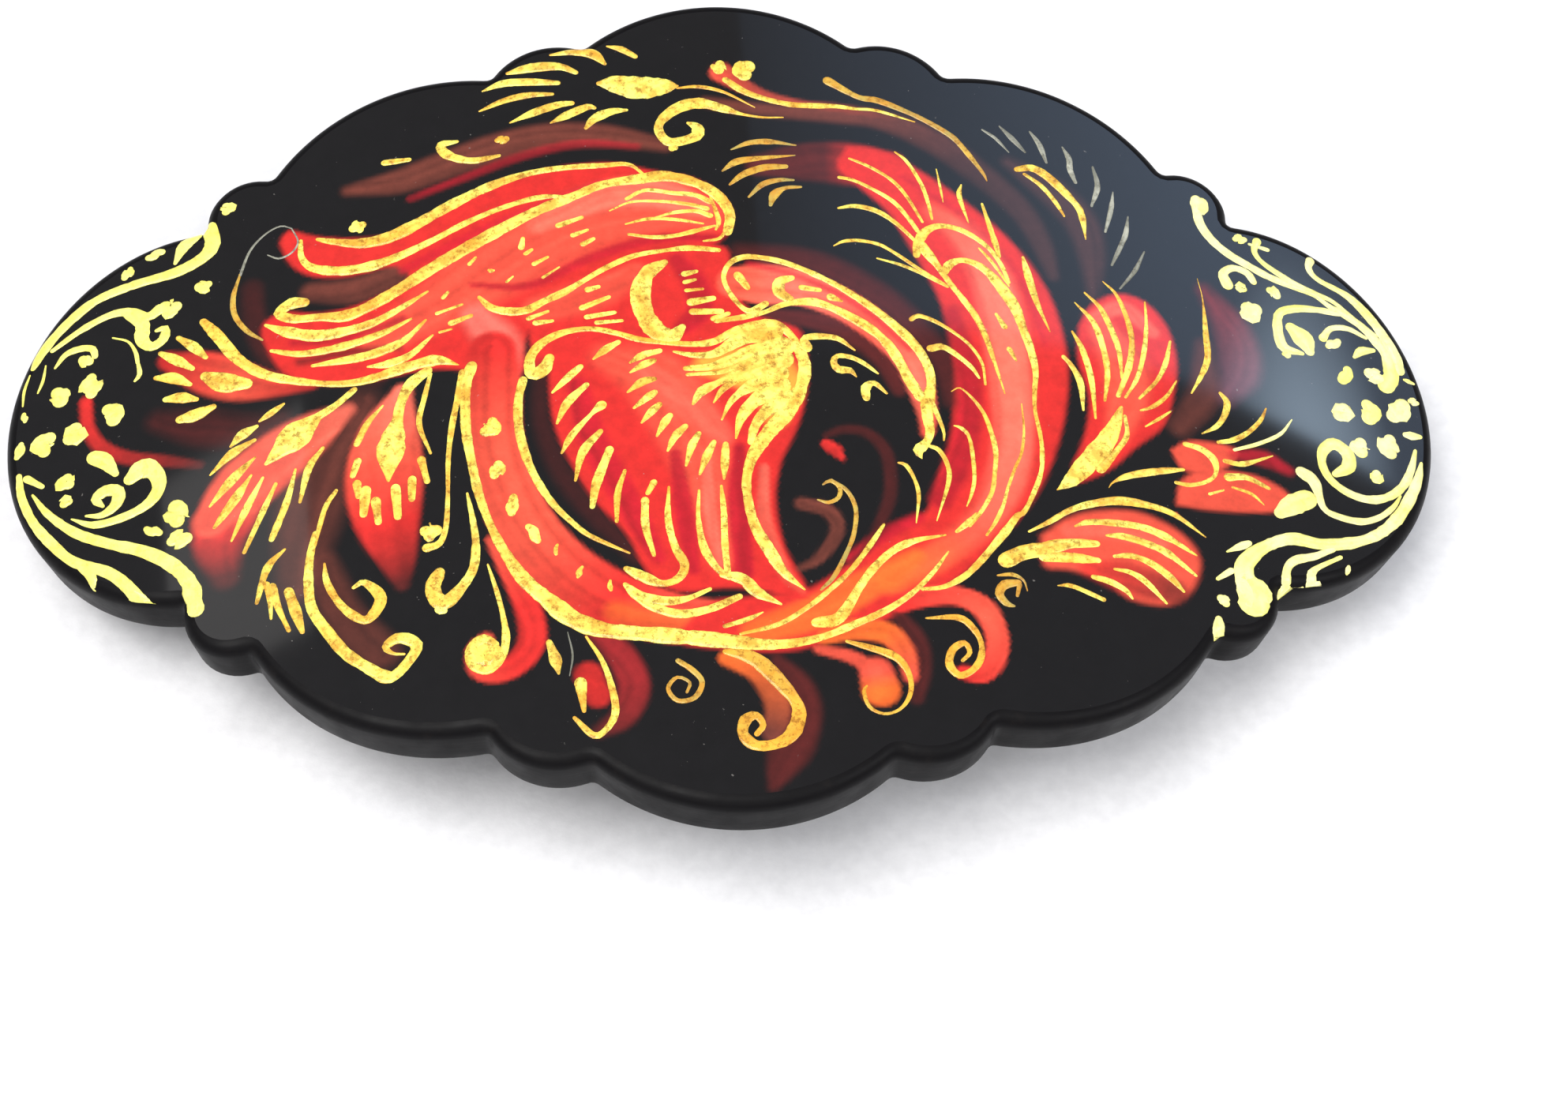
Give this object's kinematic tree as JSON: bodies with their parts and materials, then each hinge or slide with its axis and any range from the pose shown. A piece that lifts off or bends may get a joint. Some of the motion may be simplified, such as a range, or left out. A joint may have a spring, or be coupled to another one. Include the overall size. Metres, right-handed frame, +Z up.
{
  "type": "hair barrette",
  "caption": "Arched, scalloped black lacquer hair barrette painted with a gold and red firebird, on a sprung steel clasp with a hinged closing arm and pinch catch.",
  "frame": {"origin": "on the table, under the middle of the plate, with the barrette lying face up on its clasp", "axes": "+X along the barrette towards the hinge end, +Y across it, +Z up out of the painted face"},
  "size_m": [0.0998, 0.0656, 0.0137],
  "materials": {
    "black_lacquer": "clear glossy lacquer over black",
    "gold_paint": "bright yellow-gold brushwork under clear lacquer",
    "red_paint": "red glazes under clear lacquer",
    "silver_paint": "pale silvery brushwork under clear lacquer",
    "plated_steel": "bright nickel plate, finely scratched",
    "spring_steel": "bare rolled spring steel",
    "epoxy_glue": "clear amber epoxy"
  },
  "bodies": {
    "barrette": {"lacquer_plate": "black_lacquer", "glue_pad_hinge_end": "epoxy_glue", "glue_pad_catch_end": "epoxy_glue", "clasp_base": "plated_steel", "hinge_pin": "plated_steel", "leaf_spring": "spring_steel", "catch_bridge": "spring_steel", "catch_rivet": "plated_steel"},
    "arm": {"closing_arm": "plated_steel"},
    "tab_front": {"catch_tab_front": "spring_steel"},
    "tab_back": {"catch_tab_back": "spring_steel"}
  },
  "joints": [
    {"name": "arm_hinge", "type": "hinge", "parent": "barrette", "child": "arm", "pos_m": [0.0355, 0, 0.0024], "axis": [0, -1, 0], "range_deg": [0, 80]},
    {"name": "tab_front_squeeze", "type": "hinge", "parent": "barrette", "child": "tab_front", "pos_m": [-0.0381, -0.00175, 0.0039], "axis": [1, 0, 0], "range_deg": [0, 8], "stiffness_Nm_per_rad": 0.02},
    {"name": "tab_back_squeeze", "type": "hinge", "parent": "barrette", "child": "tab_back", "pos_m": [-0.0381, 0.00175, 0.0039], "axis": [-1, 0, 0], "range_deg": [0, 8], "stiffness_Nm_per_rad": 0.02}
  ]
}
